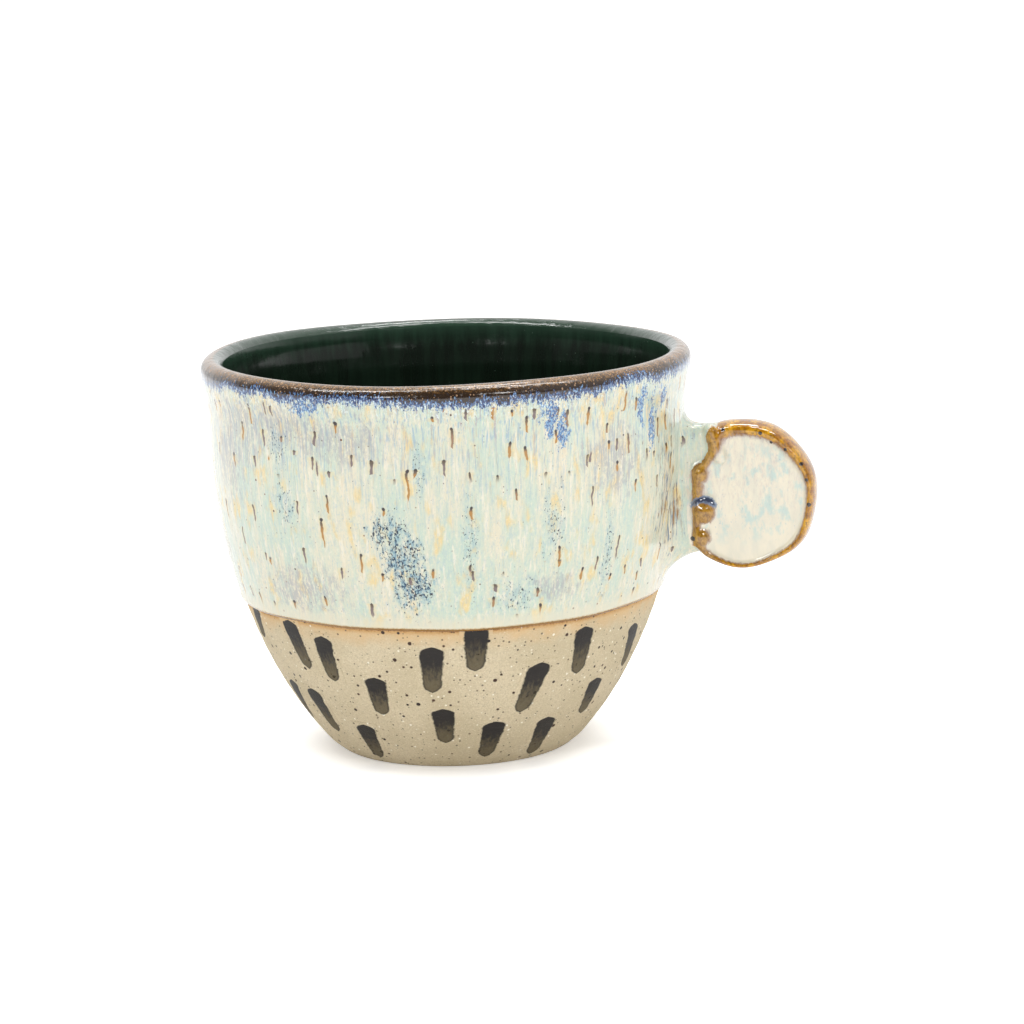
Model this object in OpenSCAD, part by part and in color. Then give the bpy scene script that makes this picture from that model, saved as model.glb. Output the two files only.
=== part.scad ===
// Stoneware mug with a round pinch handle: thrown bowl, slipped-on clay lug, dipped glazes and
// brushed oxide marks. The handle points along +X and the foot stands on z = 0.

/* [Body] */
// Outer diameter over the glaze at the lip
rim_d = 100; // [80:1:120]
// Height over the glaze at the lip
height = 82; // [66:1:100]
// Outer diameter of the foot
foot_d = 49.2; // [40:0.1:60]
// How far the bare clay's lip flares out beyond the waist of the wall
flare_out = 1.1; // [0.4:0.1:3]
// Height of that flare below the lip
flare_h = 12; // [8:0.5:16]
// Angle of the wall to the table where it leaves the foot
foot_angle = 46.7; // [38:0.1:60]
// Thickness of the thrown wall
wall = 3.8; // [3:0.1:5.5]
// Thickness of the clay floor, measured from the table
floor_t = 6; // [4.5:0.1:9]

/* [Glaze] */
// Thickness of every fired glaze coat
glaze_t = 0.5; // [0.3:0.05:0.8]
// Height of the lower edge of the outer glaze
glaze_line = 32.5; // [20:0.5:45]
// Depth of the iron-brown band below the lip, outside
rim_band = 2.6; // [1.5:0.1:6]
// Depth of the iron-brown band below the lip, inside
rim_band_in = 1.6; // [1:0.1:5]

/* [Handle] */
// Diameter of the disc over its glaze
disc_d = 30.5; // [24:0.1:38]
// How far the disc's centre lies below the lip
disc_drop = 29.5; // [24:0.5:36]
// Clear gap between the waist of the wall and the flat inner edge of the disc
disc_gap = 1.6; // [1:0.1:6]
// How far the disc's flat inner edge is cut in from its full circle
disc_cut = 5; // [3:0.1:6]
// Thickness of the disc over the glaze at its raised edge
disc_edge_t = 8.4; // [7:0.1:11]
// Thickness of the disc over the glaze at its hollowed face
disc_face_t = 6; // [4.5:0.1:8]
// Width of the raised amber edge around each face of the disc
edge_w = 2.2; // [1.5:0.1:4]
// Width of the pinched amber edge along the disc's flat inner side
pinch_w = 3.9; // [3:0.1:5]
// Thickness of the neck where it meets the disc
neck_t = 6.2; // [5:0.1:8]
// Width of the neck's flared root on the wall
root_w = 14; // [10:0.1:20]
// Height of the neck at the disc
neck_h = 24.6; // [18:0.1:28]
// How far the root spreads up the wall above the neck
root_up = 3.6; // [2:0.1:6]
// How far the root spreads down the wall below the neck
root_down = 8.8; // [5:0.1:11]
// Thickness of the slip that joins the clay pieces
slip_t = 0.4; // [0.2:0.05:0.8]

/* [Brush marks] */
// Usual height of a mark, along the wall's axis
mark_h = 9.2; // [6:0.1:12]
// Width of one mark at its head
mark_w = 4.6; // [3:0.1:5.5]
// Thickness of the oxide
mark_t = 0.15; // [0.1:0.01:0.3]

/* [Hidden] */
$fn = 96;

steps = 18;            // points along one Bezier stretch of the wall
lip_steps = 8;         // points over the lip
overlap = 1;           // how far a cutting shape runs past what it cuts
clay_rim_r = rim_d / 2 - glaze_t;
throat_r = clay_rim_r - flare_out;
throat_z = height - flare_h;
disc_z = height - disc_drop;
clay_h = height - glaze_t;
foot_r = foot_d / 2;
lip_r = wall / 2;
foot_round = 1.2;      // start of the softened corner, in from the foot's edge

// Cubic Bezier point and direction.
function bez(p, t) = pow(1 - t, 3) * p[0] + 3 * pow(1 - t, 2) * t * p[1]
                   + 3 * (1 - t) * t * t * p[2] + pow(t, 3) * p[3];
function bez_dir(p, t) = 3 * pow(1 - t, 2) * (p[1] - p[0]) + 6 * (1 - t) * t * (p[2] - p[1])
                       + 3 * t * t * (p[3] - p[2]);
function outward(d) = [d[1], -d[0]] / norm(d);

// The bare clay's outside: the belly from foot to throat, then the slight flare to the lip.
foot_pull = 0.45 * throat_z;
throat_pull = 0.21 * throat_z;
belly = [[foot_r, 0], [foot_r, 0] + foot_pull * [cos(foot_angle), sin(foot_angle)],
         [throat_r, throat_z - throat_pull], [throat_r, throat_z]];
lip_z = clay_h - lip_r;
flare = [[throat_r, throat_z], [throat_r, throat_z + (lip_z - throat_z) / 2],
         [clay_rim_r, lip_z - (lip_z - throat_z) / 3], [clay_rim_r, lip_z]];

// The outside moved out by off, from Bezier parameter t0 on the belly up to the lip.
function outside(off, t0 = 0) = concat(
    [for (i = [0:steps]) let (t = t0 + (1 - t0) * i / steps)
        bez(belly, t) + off * outward(bez_dir(belly, t))],
    [for (i = [1:steps / 3]) let (t = 3 * i / steps)
        bez(flare, t) + off * outward(bez_dir(flare, t))]);

// The lip's half circle moved out by off, from outside to inside.
function lip(off) = [for (i = [1:lip_steps - 1]) let (a = 180 * i / lip_steps)
    [clay_rim_r - lip_r, lip_z] + (lip_r + off) * [cos(a), sin(a)]];

// The inside, from the lip down to the wall's turn, then a curve to the middle of the floor.
turn = 0.34;
turn_p = bez(belly, turn) - wall * outward(bez_dir(belly, turn));
turn_d = bez_dir(belly, turn) / norm(bez_dir(belly, turn));
bowl = [[0, floor_t], [0.62 * turn_p[0], floor_t], turn_p - 0.3 * turn_p[0] * turn_d, turn_p];
function inside(off) = concat(
    [for (i = [0:steps / 3]) let (t = 1 - 3 * i / steps)
        bez(flare, t) - (wall + off) * outward(bez_dir(flare, t))],
    [for (i = [1:steps]) let (t = 1 - (1 - turn) * i / steps)
        bez(belly, t) - (wall + off) * outward(bez_dir(belly, t))],
    [for (i = [1:steps / 2 - 1]) let (t = 1 - 2 * i / steps)
        bez(bowl, t) - off * outward(bez_dir(bowl, t))],
    [[0, floor_t + off]]);

// Radius of the bare clay's outside at height z, by halving the Bezier parameter.
function belly_t(z, a = 0, b = 1, n = 24) = n == 0 ? (a + b) / 2
    : bez(belly, (a + b) / 2)[1] < z ? belly_t(z, (a + b) / 2, b, n - 1)
    : belly_t(z, a, (a + b) / 2, n - 1);
function belly_r(z) = bez(belly, belly_t(min(z, throat_z)))[0];

// Where the outer glaze stops on the belly, and the handle's places.
line_t = belly_t(glaze_line);
disc_r = disc_d / 2;
flat_x = throat_r + glaze_t + disc_gap;   // the disc's flat inner edge
disc_x = flat_x + disc_r - disc_cut;      // the disc's centre

// ---- Clay ----

// A lathe solid of the outside moved out by off, filled to the axis.
module filled(off) {
    rotate_extrude()
        polygon(concat([[0, 0], [foot_r - foot_round, 0]], outside(off, 0.03), lip(off),
                       [[0, height + overlap]]));
}

module clay_body() {
    color([0.70, 0.64, 0.51])
        rotate_extrude()
            polygon(concat([[0, 0], [foot_r - foot_round, 0]], outside(0, 0.03), lip(0),
                           inside(0)));
}

// Half section of the disc, radius by half thickness, shrunk by less: flat hollow face, eased
// rise to the raised edge, then a rounded rim.
function disc_section(less) = let (
    crest = disc_r - edge_w / 2 - less / 2,
    round_w = disc_r - less - crest,
    th = disc_edge_t / 2 - less,
    tf = disc_face_t / 2 - less,
    start = disc_r - 2 * edge_w)
    concat([[0, tf]],
           [for (i = [0:5]) let (e = (1 - cos(180 * i / 5)) / 2)
               [start + (crest - start) * i / 5, tf + (th - tf) * e]],
           [for (i = [1:6]) [crest + round_w * sin(15 * i), th * pow(cos(15 * i), 0.7)]]);

module coin(less) {
    s = disc_section(less);
    n = len(s) - 1;
    translate([disc_x, 0, disc_z])
        rotate([90, 0, 0])
            rotate_extrude()
                polygon(concat(s, [for (i = [n - 1:-1:0]) [s[i][0], -s[i][1]]]));
}

// The pinched edge is an upright oval bar, kept inside the disc's round outline.
module pinched_edge(less) {
    intersection() {
        translate([flat_x + pinch_w / 2, 0, disc_z - disc_r])
            linear_extrude(height = disc_d)
                polygon([for (i = [0:19]) [(pinch_w / 2 - less) * cos(18 * i),
                                           (disc_edge_t / 2 - less) * sin(18 * i)]]);
        translate([disc_x, disc_edge_t, disc_z])
            rotate([90, 0, 0])
                cylinder(h = 2 * disc_edge_t, r = disc_r - less);
    }
}

// The disc's clay, or its glazed outside, cut flat where it faces the wall.
module disc_solid(less) {
    union() {
        difference() {
            coin(less);
            translate([flat_x + pinch_w / 2 - disc_d, -disc_d / 2, disc_z - disc_d])
                cube([disc_d, disc_d, 2 * disc_d]);
        }
        pinched_edge(less);
    }
}

module handle_disc() {
    color([0.70, 0.64, 0.51])
        disc_solid(glaze_t);
}

// The neck is a loft of rounded rings from the wall's face out to the disc, flared where it is
// smoothed into the wall. Its first ring lies flat inside the wall. grow adds the glaze.
rings = 9;
ring_n = 28;
root_x = belly_r(disc_z - neck_h / 2 - root_down) - root_w / 2;
function ring_point(s, a, grow) = let (
    spread = pow(1 - max(s, 0), 2.2),
    top = disc_z + neck_h / 2 + root_up * spread + grow,
    low = disc_z - neck_h / 2 - root_down * spread - grow,
    half = neck_t / 2 + (root_w - neck_t) / 2 * spread + grow,
    y = half * sign(cos(a)) * pow(abs(cos(a)), 0.75),
    z = (top + low) / 2 + (top - low) / 2 * sign(sin(a)) * pow(abs(sin(a)), 0.75),
    face_x = sqrt(pow(belly_r(z) - overlap, 2) - y * y))
    [s < 0 ? root_x : face_x + (flat_x + 0.6 * pinch_w - face_x) * s, y, z];

module neck_solid(grow) {
    points = [for (k = [-1:rings]) for (j = [0:ring_n - 1])
        ring_point(k / rings, 360 * j / ring_n, grow)];
    sides = [for (k = [0:rings]) for (j = [0:ring_n - 1])
        let (a = k * ring_n + j, b = k * ring_n + (j + 1) % ring_n)
            each [[a, b + ring_n, b], [a, a + ring_n, b + ring_n]]];
    ends = [[for (j = [0:ring_n - 1]) j],
            [for (j = [ring_n - 1:-1:0]) (rings + 1) * ring_n + j]];
    polyhedron(points, concat(ends, sides), convexity = 4);
}

module handle_neck() {
    color([0.70, 0.64, 0.51])
        difference() {
            neck_solid(0);
            filled(slip_t);
            disc_solid(glaze_t - slip_t);
        }
}

// Slip is the thin layer of liquid clay that sticks each scored joint.
module neck_slip() {
    color([0.62, 0.56, 0.44])
        difference() {
            intersection() {
                neck_solid(0);
                filled(slip_t);
            }
            filled(0);
        }
}

module disc_slip() {
    color([0.62, 0.56, 0.44])
        difference() {
            intersection() {
                neck_solid(0);
                disc_solid(glaze_t - slip_t);
            }
            disc_solid(glaze_t);
        }
}

// ---- Glaze coats ----

module below(z) {
    translate([-rim_d, -rim_d, z - 2 * height])
        cube([2 * rim_d, 2 * rim_d, 2 * height]);
}

module liner_glaze() {
    color([0.07, 0.13, 0.10])
        intersection() {
            rotate_extrude()
                polygon(concat([[clay_rim_r - wall, lip_z]], inside(0),
                               [for (i = [len(inside(glaze_t)) - 1:-1:0]) inside(glaze_t)[i]]));
            below(height - rim_band_in);
        }
}

module lip_ring() {
    all_out = concat(outside(glaze_t, line_t), lip(glaze_t), inside(glaze_t));
    all_in = concat(outside(0, line_t), lip(0), inside(0));
    n = len(outside(0)) + len(lip(0)) + 3;
    rotate_extrude()
        polygon(concat([for (i = [steps:n]) all_out[i]], [for (i = [n:-1:steps]) all_in[i]]));
}

module rim_glaze() {
    color([0.28, 0.18, 0.12])
        difference() {
            lip_ring();
            difference() {
                below(height - rim_band);
                cylinder(h = height, r = clay_rim_r - lip_r);
            }
            intersection() {
                below(height - rim_band_in);
                cylinder(h = height, r = clay_rim_r - lip_r);
            }
        }
}

module wall_glaze() {
    color([0.86, 0.87, 0.78])
        difference() {
            rotate_extrude()
                polygon(concat(outside(glaze_t, line_t),
                               [for (i = [len(outside(0)) - 1:-1:0]) outside(0, line_t)[i]]));
            translate([-rim_d, -rim_d, height - rim_band])
                cube([2 * rim_d, 2 * rim_d, height]);
            neck_solid(glaze_t);
        }
}

module neck_glaze() {
    color([0.84, 0.88, 0.80])
        difference() {
            neck_solid(glaze_t);
            neck_solid(0);
            filled(0);
            disc_solid(0);
        }
}

// The disc's coat is one shell, parted where the amber edge begins.
module disc_coat() {
    difference() {
        disc_solid(0);
        disc_solid(glaze_t);
        neck_solid(0);
    }
}

module face_zone(side) {
    translate([disc_x, 0, disc_z])
        rotate([side * 90, 0, 0])
            cylinder(h = disc_edge_t, r = disc_r - edge_w);
}

module face_keep() {
    translate([flat_x + pinch_w, -disc_d, disc_z - disc_d])
        cube([2 * disc_d, 2 * disc_d, 2 * disc_d]);
}

module face_glaze(side) {
    color([0.90, 0.87, 0.78])
        intersection() {
            disc_coat();
            face_zone(side);
            face_keep();
        }
}

module disc_front_glaze() { face_glaze(1); }
module disc_back_glaze() { face_glaze(-1); }

module disc_edge_glaze() {
    color([0.62, 0.38, 0.10])
        difference() {
            disc_coat();
            for (side = [-1, 1])
                intersection() {
                    face_zone(side);
                    face_keep();
                }
        }
}

// ---- Brush marks ----

// One half turn of marks, each [angle from the handle, height of its head, length in mark_h, how
// far its tail swings aside]: the painter goes round in loose staggered rows, and the second half
// turn repeats the first.
marks = [[-148, 32.6, 0.76, -2.5], [-127.3, 32.4, 1.15, 1.4], [-116.8, 30.1, 1.11, -0.3],
         [-84.6, 29.1, 1.13, -0.6], [-72.2, 33.2, 1.07, 0], [-39.3, 30.5, 1.15, 1],
         [-13.6, 27.8, 1.11, 3.6], [-102.7, 21.9, 0.96, -0.4], [-54.4, 24.1, 1.22, -2.7],
         [-26.9, 17.6, 0.89, 0.7], [-130.7, 17, 1.11, 0.1], [-145.8, 17.4, 1.04, -3.8],
         [-113.8, 10.2, 0.91, -0.8], [-82.3, 15, 0.91, 0], [-65.4, 11.4, 0.96, -1.1],
         [-43.9, 10.8, 1, 0.1], [14, 20.8, 0.93, 1.1], [2, 15.2, 0.89, -0.6]];
mark_top_t = belly_t(glaze_line - 0.3);   // the oxide ends just under the glaze's edge

module mark(angle, head, long, aside) {
    low = max(head - long, foot_round);
    rotate([90, 0, 90 + angle])
        linear_extrude(height = rim_d / 2)
            polygon(concat(
                [for (a = [0:30:180])
                    [mark_w / 2 * cos(a) - aside / 2, head - mark_w / 3 * (1 - sin(a))]],
                [for (a = [180:30:360])
                    [mark_w / 2.8 * cos(a) + aside / 2, low + mark_w / 2.8 * (1 + sin(a))]]));
}

module brush_marks() {
    color([0.13, 0.12, 0.10])
        intersection() {
            rotate_extrude()
                polygon(concat(
                    [for (i = [0:steps]) let (t = 0.03 + (mark_top_t - 0.03) * i / steps)
                        bez(belly, t) + mark_t * outward(bez_dir(belly, t))],
                    [for (i = [steps:-1:0]) let (t = 0.03 + (mark_top_t - 0.03) * i / steps)
                        bez(belly, t)]));
            union()
                for (half_turn = [0, 180], m = marks)
                    mark(m[0] + half_turn, m[1], m[2] * mark_h, m[3]);
        }
}

clay_body();
handle_neck();
handle_disc();
neck_slip();
disc_slip();
liner_glaze();
rim_glaze();
wall_glaze();
neck_glaze();
disc_edge_glaze();
disc_front_glaze();
disc_back_glaze();
brush_marks();
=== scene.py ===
import math
import bmesh
import bpy
import numpy as np
from mathutils import Matrix, Vector


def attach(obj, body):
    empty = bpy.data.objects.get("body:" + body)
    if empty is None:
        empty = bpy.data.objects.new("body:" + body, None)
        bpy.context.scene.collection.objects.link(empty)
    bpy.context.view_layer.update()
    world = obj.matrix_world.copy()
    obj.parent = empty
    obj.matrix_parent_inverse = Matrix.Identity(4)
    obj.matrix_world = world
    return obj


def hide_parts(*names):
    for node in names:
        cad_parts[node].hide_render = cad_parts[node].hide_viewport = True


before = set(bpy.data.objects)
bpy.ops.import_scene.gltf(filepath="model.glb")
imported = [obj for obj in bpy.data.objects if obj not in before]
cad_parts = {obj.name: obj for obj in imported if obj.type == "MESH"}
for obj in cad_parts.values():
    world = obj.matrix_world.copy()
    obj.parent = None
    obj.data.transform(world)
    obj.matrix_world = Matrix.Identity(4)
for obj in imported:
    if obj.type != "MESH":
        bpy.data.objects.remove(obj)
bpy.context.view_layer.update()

# The camera stands above the lip, three quarters of a metre away and a little round towards the
# handle. It looks slightly down and past the bowl, and is held a touch out of level.
lens = bpy.data.cameras.new("camera")
lens.lens = 129.55
lens.clip_start = 0.05
camera = bpy.data.objects.new("camera", lens)
bpy.context.collection.objects.link(camera)
bpy.context.scene.camera = camera
swing, pan, dip, roll = (math.radians(turn) for turn in (12, -0.975, 10.759, -1.555))
camera.matrix_world = (Matrix.Rotation(swing, 4, "Z") @ Matrix.Translation((0, -0.7467, 0.1894))
                       @ Matrix.Rotation(pan, 4, "Z") @ Matrix.Rotation(math.pi / 2 - dip, 4, "X")
                       @ Matrix.Rotation(roll, 4, "Z"))


# ---- Thrown bowl ----
# The bowl is thrown on a wheel from buff stoneware with iron specks and white grog, trimmed to a
# flat foot and fired bare below the glaze. Its outline runs from the middle of the foot up the
# outside, over the lip and down the inside to the middle of the floor.
foot_radius, throat_radius, lip_radius = 24.6, 48.4, 49.5
throat_height, clay_height = 70.0, 81.5
wall_thickness, floor_height, coat = 3.8, 6.0, 0.5
glaze_line, band_outside, band_inside = 32.5, 79.4, 80.4


def bend(points, t):
    a, b, c, d = (np.array(p, float) for p in points)
    t = np.asarray(t, float)[:, None]
    return (1 - t) ** 3 * a + 3 * (1 - t) ** 2 * t * b + 3 * (1 - t) * t * t * c + t ** 3 * d


def outward(line):
    step = np.gradient(line, axis=0)
    step /= np.linalg.norm(step, axis=1)[:, None]
    return np.stack([step[:, 1], -step[:, 0]], 1)


lean_out = math.radians(46.7)
belly = [(foot_radius, 0),
         (foot_radius + 31.5 * math.cos(lean_out), 31.5 * math.sin(lean_out)),
         (throat_radius, throat_height - 14.7), (throat_radius, throat_height)]
lip_middle = clay_height - wall_thickness / 2
flare = [(throat_radius, throat_height), (throat_radius, (throat_height + lip_middle) / 2),
         (lip_radius, lip_middle - (lip_middle - throat_height) / 3), (lip_radius, lip_middle)]
outside = np.vstack([bend(belly, np.linspace(0.03, 1, 160)), bend(flare, np.linspace(0, 1, 40))[1:]])
around_lip = np.radians(np.linspace(0, 180, 30))[1:-1]
lip = np.stack([lip_radius - wall_thickness / 2 * (1 - np.cos(around_lip)),
                lip_middle + wall_thickness / 2 * np.sin(around_lip)], 1)
inner_face = (outside - wall_thickness * outward(outside))[::-1]
inner_face = inner_face[inner_face[:, 1] > 14.0]
turn, run = inner_face[-1], inner_face[-1] - inner_face[-2]
run /= np.linalg.norm(run)
floor_curve = bend([turn, turn + 9.5 * run, (0.62 * turn[0], floor_height), (0, floor_height)],
                   np.linspace(0, 1, 40))[1:]
foot = np.array([(0, 0), (8, 0), (16, 0), (foot_radius - 1.4, 0), (foot_radius - 0.6, 0.1)])
outline = np.vstack([foot, outside, lip, inner_face, floor_curve])
length = np.concatenate([[0], np.cumsum(np.linalg.norm(np.diff(outline, axis=0), axis=1))])
even = np.linspace(0, length[-1], 2400)
outline = np.stack([np.interp(even, length, outline[:, 0]), np.interp(even, length, outline[:, 1])], 1)
facing = outward(outline)
facing[:1], facing[-1:] = (0, -1), (0, 1)
top_of_lip = int(np.argmax(outline[:, 1]))


def rise_to(height):
    """Distance along the outline to this height on the outside."""
    start = int(np.searchsorted(outline[:top_of_lip, 1], 0.3))
    return np.interp(height, outline[start:top_of_lip, 1], even[start:top_of_lip])


def fall_to(height):
    """Distance along the outline to this height on the inside."""
    return np.interp(-height, -outline[top_of_lip:, 1], even[top_of_lip:])


def thrown(distance, angle, thickness):
    """Points on the bowl's outline turned to an angle, lifted by a coat, with the potter's
    faint throwing rings and the small wander of a wall drawn up by hand."""
    r = np.interp(distance, even, outline[:, 0])
    z = np.interp(distance, even, outline[:, 1])
    out_r = np.interp(distance, even, facing[:, 0])
    out_z = np.interp(distance, even, facing[:, 1])
    high = np.clip(z / clay_height, 0, 1)
    wander = high * (0.13 * np.sin(2 * angle + 0.6) + 0.08 * np.sin(3 * angle + 2.1))
    rings = 0.035 * np.sin(2 * math.pi * z / 3.9 + angle) * np.clip((z - 4) / 6, 0, 1)
    swell = np.where(r > 4, wander + rings * np.abs(out_r), 0)
    lip_wave = high ** 8 * (0.16 * np.sin(2 * angle + 1.9) + 0.1 * np.sin(5 * angle + 0.4) - 0.26)
    r = r + out_r * thickness + swell
    z = np.where(z > 2, z + lip_wave, z) + out_z * thickness
    return np.stack([r * np.cos(angle), r * np.sin(angle), z], -1) * 0.001


def skin(name, rows, joined, material):
    """A closed surface through rows of points, each row a ring round the bowl."""
    count, around = rows.shape[:2]
    ids = np.arange(count * around).reshape(count, around)
    if joined:
        ids = np.vstack([ids, ids[:1]])
    a, b = ids[:-1], ids[1:]
    faces = np.stack([a, np.roll(a, -1, 1), np.roll(b, -1, 1), b], -1).reshape(-1, 4)
    mesh = bpy.data.meshes.new(name)
    mesh.from_pydata(rows.reshape(-1, 3).tolist(), [], faces.tolist())
    work = bmesh.new()
    work.from_mesh(mesh)
    bmesh.ops.remove_doubles(work, verts=work.verts, dist=1e-6)
    bmesh.ops.dissolve_degenerate(work, edges=work.edges, dist=1e-6)
    for face in work.faces:
        face.smooth = True
    work.to_mesh(mesh)
    work.free()
    mesh.set_sharp_from_angle(angle=math.radians(50))
    mesh.materials.append(material)
    piece = bpy.data.objects.new(name, mesh)
    bpy.context.collection.objects.link(piece)
    return piece


def shade(red, green, blue):
    """A colour as a painter's chart gives it, 0 to 255, turned to light."""
    return tuple((c / 255 / 12.92 if c < 10.3 else ((c / 255 + 0.055) / 1.055) ** 2.4)
                 for c in (red, green, blue)) + (1.0,)


def bench(tree):
    """Short ways to lay out shader nodes in one tree."""
    def add(kind, inputs=None, out=0, **settings):
        n = tree.nodes.new(kind)
        for key, value in settings.items():
            setattr(n, key, value)
        for key, value in (inputs or {}).items():
            if isinstance(value, bpy.types.NodeSocket):
                tree.links.new(value, n.inputs[key])
            else:
                n.inputs[key].default_value = value
        return n.outputs[out]

    def calc(kind, a, b=0.0, c=0.0):
        return add("ShaderNodeMath", {0: a, 1: b, 2: c}, operation=kind)

    def times(a, b):
        return calc("MULTIPLY", a, b)

    def fade(value, low, high, start=0.0, end=1.0):
        return add("ShaderNodeMapRange", {"Value": value, "From Min": low, "From Max": high,
                                          "To Min": start, "To Max": end},
                   interpolation_type="SMOOTHSTEP")

    def blend(mask, under, over):
        n = tree.nodes.new("ShaderNodeMix")
        n.data_type = "RGBA"
        for slot, value in ((0, mask), (6, under), (7, over)):
            if isinstance(value, bpy.types.NodeSocket):
                tree.links.new(value, n.inputs[slot])
            else:
                n.inputs[slot].default_value = value
        return n.outputs[2]

    def wash(mask, strength, under, over):
        """A colour laid over another, through a mask and no stronger than this."""
        return blend(times(mask, strength), under, over)

    def stretch(place, x, y, z, shift=(0, 0, 0)):
        return add("ShaderNodeMapping", {"Vector": place, "Scale": (x, y, z), "Location": shift})

    def cloud(place, detail=2.0, rough=0.5, warp=0.0, scale=1.0):
        return add("ShaderNodeTexNoise", {"Vector": place, "Scale": scale, "Detail": detail,
                                          "Roughness": rough, "Distortion": warp})
    return add, calc, times, fade, blend, wash, stretch, cloud


def colour_group(name):
    """An empty shader group that takes a place on the mug in millimetres."""
    group = bpy.data.node_groups.new(name, "ShaderNodeTree")
    group.interface.new_socket("Place", in_out="INPUT", socket_type="NodeSocketVector")
    group.interface.new_socket("Colour", in_out="OUTPUT", socket_type="NodeSocketColor")
    for word in ("Roughness", "Height"):
        group.interface.new_socket(word, in_out="OUTPUT", socket_type="NodeSocketFloat")
    return group, group.nodes.new("NodeGroupInput"), group.nodes.new("NodeGroupOutput")


def fired(name, group, bump, settings):
    """A material that takes its colour, gloss and relief from a group."""
    material = bpy.data.materials.new(name)
    material.use_nodes = True
    tree = material.node_tree
    tree.nodes.clear()
    add, calc, times, fade, blend, wash, stretch, cloud = bench(tree)
    spot = stretch(add("ShaderNodeTexCoord", out=3), 1000, 1000, 1000)
    looks = tree.nodes.new("ShaderNodeGroup")
    looks.node_tree = group
    tree.links.new(spot, looks.inputs["Place"])
    shader = tree.nodes.new("ShaderNodeBsdfPrincipled")
    for key, value in settings.items():
        shader.inputs[key].default_value = value
    tree.links.new(looks.outputs["Colour"], shader.inputs["Base Color"])
    tree.links.new(looks.outputs["Roughness"], shader.inputs["Roughness"])
    relief = add("ShaderNodeBump", {"Height": looks.outputs["Height"], "Strength": 1.0,
                                    "Distance": bump * 0.001})
    tree.links.new(relief, shader.inputs["Normal"])
    end = tree.nodes.new("ShaderNodeOutputMaterial")
    tree.links.new(shader.outputs[0], end.inputs[0])
    return material


def specks(add, calc, fade, place, per_mm, small, large, soft, rarity):
    """Round specks: a mask, and a chance value for each speck's tint."""
    cells = add("ShaderNodeTexVoronoi", {"Vector": place, "Scale": per_mm, "Randomness": 1.0}, out=1)
    chance = add("ShaderNodeSeparateColor", {"Color": cells}).node
    size = calc("MULTIPLY_ADD", calc("POWER", chance.outputs[0], rarity), large - small, small)
    size = calc("MULTIPLY", size, per_mm)
    gap = calc("SUBTRACT", size, cells.node.outputs[0])
    return fade(gap, -soft * per_mm, soft * per_mm), chance.outputs[1]


def edge_wave(angle):
    """How the dipped edge wanders up and down round the bowl."""
    return 0.3 * np.sin(angle + 0.4) + 0.18 * np.sin(3 * angle + 1.2) + 0.07 * np.sin(11 * angle)


def marked(piece, word, values):
    """A painted value at each point of a piece."""
    piece.data.attributes.new(word, "FLOAT", "POINT").data.foreach_set("value", values.ravel())


def own_place(piece):
    """The points of a piece, in millimetres."""
    at = np.empty(len(piece.data.vertices) * 3)
    piece.data.vertices.foreach_get("co", at)
    return at.reshape(-1, 3) * 1000


clay, clay_in, clay_out = colour_group("stoneware clay")
add, calc, times, fade, blend, wash, stretch, cloud = bench(clay)
place = clay_in.outputs["Place"]
height = add("ShaderNodeSeparateXYZ", {0: place}, out=2)
colour = blend(fade(cloud(place, 3, scale=0.09), 0.35, 0.65), shade(223, 208, 177), shade(208, 193, 160))
grain = cloud(place, 3, 0.7, scale=2.6)
colour = blend(fade(grain, 0.35, 0.75), colour, shade(198, 182, 150))
pale = fade(cloud(place, 2, scale=4.2), 0.56, 0.7)
colour = wash(pale, 0.6, colour, shade(240, 230, 206))
ragged = calc("MULTIPLY_ADD", cloud(place, 3, scale=0.25), 6.0, height)
flash = fade(ragged, 30.5, 36.5)
colour = wash(flash, 0.9, colour, shade(224, 188, 138))
singed = add("ShaderNodeAttribute", out=2, attribute_name="singed")
singed = calc("MULTIPLY_ADD", calc("SUBTRACT", grain, 0.5), 0.8, singed)
colour = wash(fade(singed, 0.1, 0.9), 0.8, colour, shade(204, 158, 100))
colour = blend(fade(singed, 0.72, 1.0), colour, shade(160, 110, 58))
big, tint = specks(add, calc, fade, place, 0.58, 0.0, 0.44, 0.06, 1.5)
fine, _ = specks(add, calc, fade, stretch(place, 1, 1, 1, (31, 7, 13)), 1.0, 0.0, 0.24, 0.05, 1.3)
iron = calc("MAXIMUM", big, times(fine, 0.75))
grog, _ = specks(add, calc, fade, stretch(place, 1, 1, 1, (5, 51, 23)), 0.75, 0.0, 0.28, 0.07, 1.9)
colour = wash(grog, 0.9, colour, shade(250, 244, 228))
colour = blend(iron, colour, blend(tint, shade(40, 34, 34), shade(92, 66, 50)))
clay.links.new(colour, clay_out.inputs["Colour"])
clay.links.new(fade(iron, 0, 1, 0.72, 0.5), clay_out.inputs["Roughness"])
relief = calc("ADD", times(grain, 0.5), times(cloud(place, 3, 0.6, scale=0.8), 0.5))
relief = calc("ADD", relief, times(cloud(stretch(place, 0.03, 0.03, 1.2), 2), 0.7))
relief = calc("SUBTRACT", relief, times(iron, 0.35))
clay.links.new(relief, clay_out.inputs["Height"])
bare_clay = fired("bare stoneware", clay, 0.12, {"Specular IOR Level": 0.35})

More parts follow.
